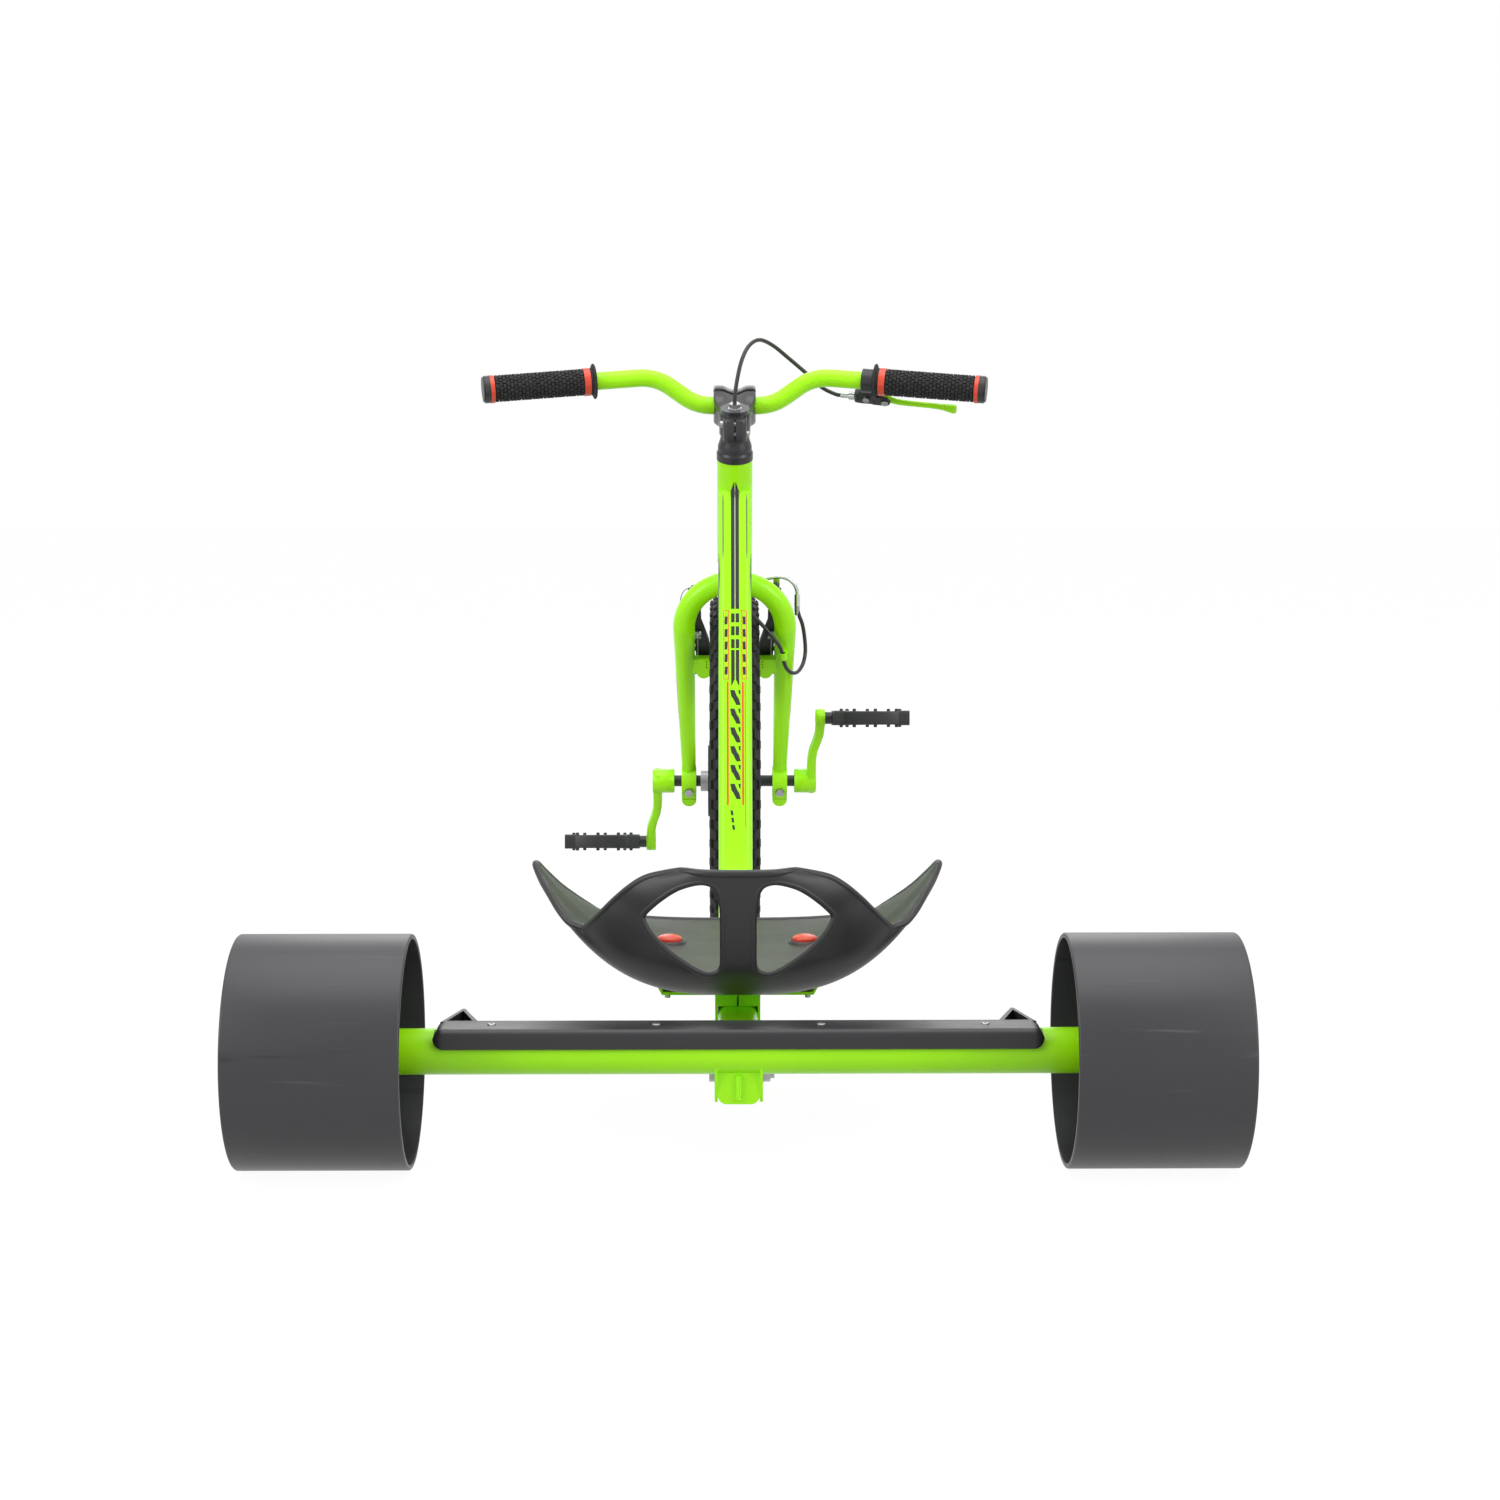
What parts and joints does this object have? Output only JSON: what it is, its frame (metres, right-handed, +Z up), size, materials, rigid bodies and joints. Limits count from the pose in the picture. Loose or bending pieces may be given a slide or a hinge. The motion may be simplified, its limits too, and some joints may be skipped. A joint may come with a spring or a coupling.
{
  "type": "drift trike",
  "caption": "Low three-wheeled drift trike with a pedalled spoked front wheel, slick rear drums, a bucket seat and a lever-worked rim brake.",
  "frame": {"origin": "middle of the bounding box in X and Y, on the ground", "axes": "+Z up, +Y forward from the rear drums to the front wheel, +X to the rider's right"},
  "size_m": [0.97, 1.3682, 0.8322],
  "materials": {
    "frame_green": "gloss",
    "black_plastic": "satin",
    "drum_plastic": "satin with fine streaks",
    "steel": "satin",
    "bright_steel": "polished",
    "rim_aluminium": "satin",
    "black_metal": "satin",
    "red_ring": "satin",
    "grip_rubber": "matte",
    "pad_rubber": "matte",
    "tyre": "matte"
  },
  "bodies": {
    "frame": {"main_frame": "frame_green", "rear_axle_frame": "frame_green", "frame_bolts": "steel", "frame_nuts": "steel", "axle_pad": "black_plastic", "pad_screws": "steel", "headset_bearings": "steel", "drum_bearings": "steel", "axle_nuts": "steel"},
    "left_rear_wheel": {"left_rear_drum": "drum_plastic"},
    "right_rear_wheel": {"right_rear_drum": "drum_plastic"},
    "seat_carriage": {"seat_shell": "black_plastic", "seat_plate": "frame_green", "seat_clamp": "frame_green", "seat_bolts": "steel", "seat_spacers": "black_plastic", "seat_washers": "red_ring", "clamp_pin": "steel"},
    "seat_clamp_lever": {"clamp_lever": "black_metal"},
    "steering": {"fork": "frame_green", "fork_end_bolts": "steel", "spindle_bearings": "steel", "headset_cover": "black_metal", "headset_spacer": "black_metal", "stem": "black_metal", "stem_faceplate": "black_metal", "stem_bolts": "steel", "steerer_cap": "black_metal", "cap_bolt": "steel", "handlebar": "frame_green", "left_grip": "grip_rubber", "right_grip": "grip_rubber", "grip_rings": "red_ring", "bar_plugs": "black_plastic", "lever_housing": "black_metal", "lever_bolts": "steel", "barrel_adjuster": "bright_steel", "brake_cable": "black_plastic", "cable_clip": "frame_green", "brake_pivot_bolts": "steel", "brake_springs": "steel"},
    "brake_lever": {"lever_blade": "frame_green"},
    "left_arm": {"left_brake_arm": "black_metal", "left_brake_pad": "pad_rubber", "brake_wire": "steel"},
    "right_arm": {"right_brake_arm": "black_metal", "right_brake_pad": "pad_rubber", "cable_noodle": "bright_steel"},
    "front_wheel": {"front_tyre": "tyre", "front_rim": "rim_aluminium", "front_spokes": "bright_steel", "front_hub": "black_metal"},
    "crankset": {"crank_spindle": "black_metal", "drive_disc": "black_metal", "left_crank": "frame_green", "right_crank": "frame_green", "pedal_spindles": "steel", "hub_washers": "steel"},
    "left_pedal_body": {"left_pedal": "black_plastic"},
    "right_pedal_body": {"right_pedal": "black_plastic"}
  },
  "joints": [
    {"name": "left_rear_spin", "type": "hinge", "parent": "frame", "child": "left_rear_wheel", "pos_m": [-0.401, -0.56985, 0.1143], "axis": [1, 0, 0], "continuous": true},
    {"name": "right_rear_spin", "type": "hinge", "parent": "frame", "child": "right_rear_wheel", "pos_m": [0.401, -0.56985, 0.1143], "axis": [1, 0, 0], "continuous": true},
    {"name": "seat_slide", "type": "slide", "parent": "frame", "child": "seat_carriage", "axis": [0, 1, 0], "range_m": [-0.035, 0.1]},
    {"name": "seat_lever_turn", "type": "hinge", "parent": "seat_carriage", "child": "seat_clamp_lever", "pos_m": [-0.0565, -0.33485, 0.129], "axis": [1, 0, 0], "range_deg": [-100, 0]},
    {"name": "steer", "type": "hinge", "parent": "frame", "child": "steering", "pos_m": [0, 0.25413, 0.61489], "axis": [0, -0.3584, 0.9336], "range_deg": [-60, 60]},
    {"name": "brake_lever_pull", "type": "hinge", "parent": "steering", "child": "brake_lever", "pos_m": [0.18982, 0.26814, 0.75867], "axis": [-0.1802, -0.6056, -0.7751], "range_deg": [0, 12]},
    {"name": "left_arm_swing", "type": "hinge", "parent": "steering", "child": "left_arm", "pos_m": [-0.04, 0.35236, 0.4148], "axis": [0, 0.9336, 0.3584], "range_deg": [0, 2.6], "deforming": ["brake_wire"]},
    {"name": "right_arm_swing", "type": "hinge", "parent": "steering", "child": "right_arm", "pos_m": [0.04, 0.35236, 0.4148], "axis": [0, 0.9336, 0.3584], "range_deg": [-2.6, 0]},
    {"name": "front_wheel_spin", "type": "hinge", "parent": "steering", "child": "front_wheel", "pos_m": [0, 0.43015, 0.254], "axis": [1, 0, 0], "continuous": true},
    {"name": "crank_spin", "type": "hinge", "parent": "steering", "child": "crankset", "pos_m": [0, 0.43015, 0.254], "axis": [1, 0, 0], "continuous": true},
    {"name": "left_pedal_spin", "type": "hinge", "parent": "crankset", "child": "left_pedal_body", "pos_m": [-0.178, 0.4796, 0.16479], "axis": [1, 0, 0], "continuous": true},
    {"name": "right_pedal_spin", "type": "hinge", "parent": "crankset", "child": "right_pedal_body", "pos_m": [0.178, 0.3807, 0.34321], "axis": [1, 0, 0], "continuous": true}
  ],
  "couplings": [
    {"joint": "left_arm_swing", "follows": "brake_lever_pull", "ratio": 0.2166},
    {"joint": "right_arm_swing", "follows": "brake_lever_pull", "ratio": -0.2166}
  ]
}
